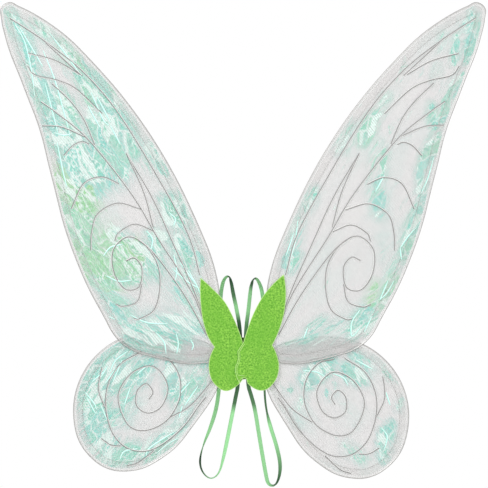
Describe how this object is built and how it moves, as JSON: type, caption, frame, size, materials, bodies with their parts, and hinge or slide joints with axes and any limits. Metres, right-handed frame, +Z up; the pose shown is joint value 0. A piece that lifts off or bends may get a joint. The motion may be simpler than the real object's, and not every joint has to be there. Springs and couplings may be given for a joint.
{
  "type": "fairy wings",
  "caption": "Costume fairy wings: sheer pointed upper and round lower wings on wire frames, sewn between green felt covers, with elastic shoulder loops.",
  "frame": {"origin": "on the wearer-side face of the back patch, at the height where the felt covers are narrowest", "axes": "+Z up as worn, +Y out of the back patch towards the wearer's back, +X to the right of someone looking at the wings from behind the wearer; pieces called left are at -X"},
  "size_m": [0.647, 0.0482, 0.6476],
  "materials": {
    "frame_wire": "bright drawn wire",
    "crimp": "pressed steel, satin",
    "hem_organza": "doubled white organza, folded hem with a satin sheen",
    "organza": "sheer white organza, fine plain weave, soft sheen",
    "iridescent_film": "thin glossy film, mint and aqua with hints of yellow-green and lilac",
    "green_felt": "lime green felt, fuzzy",
    "anchor_tape": "green woven tape, folded",
    "green_elastic": "green elastic ribbon, fine ribs, satin sheen",
    "thread": "twisted polyester thread"
  },
  "bodies": {
    "hub": {"back_patch": "green_felt", "centre_pad": "green_felt", "top_strap_anchor": "anchor_tape", "bottom_strap_anchor": "anchor_tape", "left_felt_lip": "green_felt", "right_felt_lip": "green_felt", "left_strap": "green_elastic", "right_strap": "green_elastic"},
    "left_half": {"left_felt_cover": "green_felt", "left_back_cover": "green_felt", "left_upper_root_stitch": "thread", "left_lower_root_stitch": "thread"},
    "left_upper_wing": {"left_upper_wire": "frame_wire", "left_upper_hem": "hem_organza", "left_upper_front_organza": "organza", "left_upper_film": "iridescent_film", "left_upper_back_organza": "organza", "left_upper_root_crimp": "crimp"},
    "left_lower_wing": {"left_lower_wire": "frame_wire", "left_lower_hem": "hem_organza", "left_lower_front_organza": "organza", "left_lower_film": "iridescent_film", "left_lower_back_organza": "organza", "left_lower_root_crimp": "crimp"},
    "right_half": {"right_felt_cover": "green_felt", "right_back_cover": "green_felt", "right_upper_root_stitch": "thread", "right_lower_root_stitch": "thread"},
    "right_upper_wing": {"right_upper_wire": "frame_wire", "right_upper_hem": "hem_organza", "right_upper_front_organza": "organza", "right_upper_film": "iridescent_film", "right_upper_back_organza": "organza", "right_upper_root_crimp": "crimp"},
    "right_lower_wing": {"right_lower_wire": "frame_wire", "right_lower_hem": "hem_organza", "right_lower_front_organza": "organza", "right_lower_film": "iridescent_film", "right_lower_back_organza": "organza", "right_lower_root_crimp": "crimp"}
  },
  "joints": [
    {"name": "left_fold", "type": "hinge", "parent": "hub", "child": "left_half", "pos_m": [-0.014, -0.0118, 0], "axis": [0, 0, 1], "range_deg": [-10, 85]},
    {"name": "left_upper_swing", "type": "hinge", "parent": "left_half", "child": "left_upper_wing", "pos_m": [-0.023, -0.0083, -0.0053], "axis": [0, -1, 0], "range_deg": [-8, 12]},
    {"name": "left_lower_swing", "type": "hinge", "parent": "left_half", "child": "left_lower_wing", "pos_m": [-0.023, -0.0053, -0.0226], "axis": [0, -1, 0], "range_deg": [-10, 10]},
    {"name": "right_fold", "type": "hinge", "parent": "hub", "child": "right_half", "pos_m": [0.014, -0.0118, 0], "axis": [0, 0, -1], "range_deg": [-10, 85]},
    {"name": "right_upper_swing", "type": "hinge", "parent": "right_half", "child": "right_upper_wing", "pos_m": [0.023, -0.0083, -0.0053], "axis": [0, 1, 0], "range_deg": [-8, 12]},
    {"name": "right_lower_swing", "type": "hinge", "parent": "right_half", "child": "right_lower_wing", "pos_m": [0.023, -0.0053, -0.0226], "axis": [0, 1, 0], "range_deg": [-10, 10]}
  ]
}
